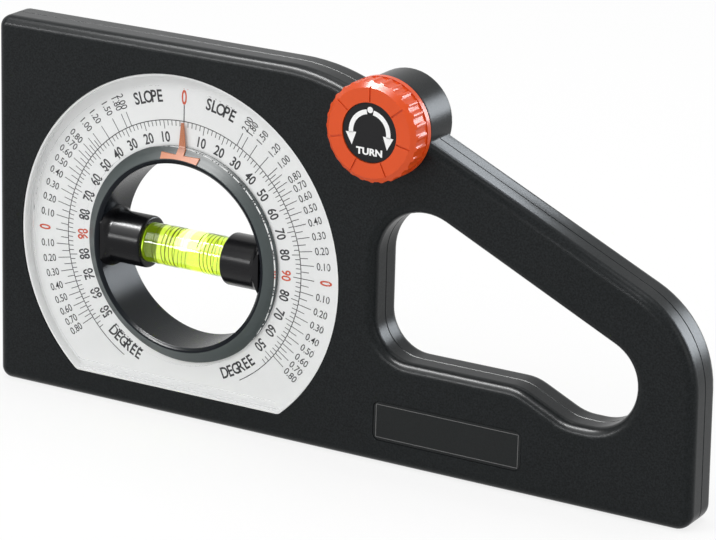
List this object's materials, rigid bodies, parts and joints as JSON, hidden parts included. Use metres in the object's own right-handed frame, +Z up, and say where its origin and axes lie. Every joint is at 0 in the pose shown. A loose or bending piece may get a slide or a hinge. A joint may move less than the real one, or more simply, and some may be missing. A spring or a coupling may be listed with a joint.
{
  "type": "inclinometer",
  "caption": "Flat hand inclinometer: black case with a finger opening, a round slope scale, a bubble vial in a turning drum and a knob that sets it through gears.",
  "frame": {"origin": "middle of the flat base, halfway through the thickness of the case", "axes": "+X along the base towards the finger opening, +Y from the scale side to the back, +Z up"},
  "size_m": [0.1939, 0.022, 0.0967],
  "materials": {
    "case_plastic": "satin black moulded plastic with a fine grain",
    "scale_white": "white printed sheet",
    "clear_plastic": "clear moulded acrylic",
    "label_grey": "fine matt plate",
    "drum_black": "glossy black plastic",
    "bezel_grey": "dark grey plastic",
    "pointer_orange": "orange plastic",
    "knob_orange": "orange-red plastic",
    "disc_black": "black printed disc",
    "vial_clear": "clear acrylic",
    "vial_fluid": "yellow-green fluid",
    "bubble_air": "air bubble",
    "gear_plastic": "natural acetal",
    "steel": "bright steel",
    "washer_felt": "dark felt"
  },
  "bodies": {
    "case": {"front_case": "case_plastic", "rear_case": "case_plastic", "dial_plate": "scale_white", "dial_cover": "clear_plastic", "label_plate": "label_grey", "case_screws": "steel", "friction_washer": "washer_felt", "idler_pin": "steel"},
    "drum": {"drum": "drum_black", "front_bezel": "bezel_grey", "rear_bezel": "bezel_grey", "ring_gear": "gear_plastic", "pointer": "pointer_orange", "left_vial_holder": "drum_black", "right_vial_holder": "drum_black", "vial_tube": "vial_clear", "vial_plug": "vial_clear", "vial_fluid": "vial_fluid", "vial_bubble": "bubble_air"},
    "idler": {"idler_gear": "gear_plastic"},
    "knob": {"knob": "knob_orange", "knob_disc": "disc_black", "knob_shaft": "steel", "knob_screw": "steel", "knob_pinion": "gear_plastic"}
  },
  "joints": [
    {"name": "drum_turn", "type": "hinge", "parent": "case", "child": "drum", "pos_m": [-0.0437, 0, 0.0416], "axis": [0, -1, 0], "continuous": true},
    {"name": "idler_turn", "type": "hinge", "parent": "case", "child": "idler", "pos_m": [-0.005, 0, 0.07326], "axis": [0, -1, 0], "continuous": true},
    {"name": "knob_turn", "type": "hinge", "parent": "case", "child": "knob", "pos_m": [0.014, 0, 0.08435], "axis": [0, -1, 0], "continuous": true}
  ],
  "couplings": [
    {"joint": "idler_turn", "follows": "drum_turn", "ratio": -2.5714},
    {"joint": "knob_turn", "follows": "drum_turn", "ratio": 4.5}
  ]
}
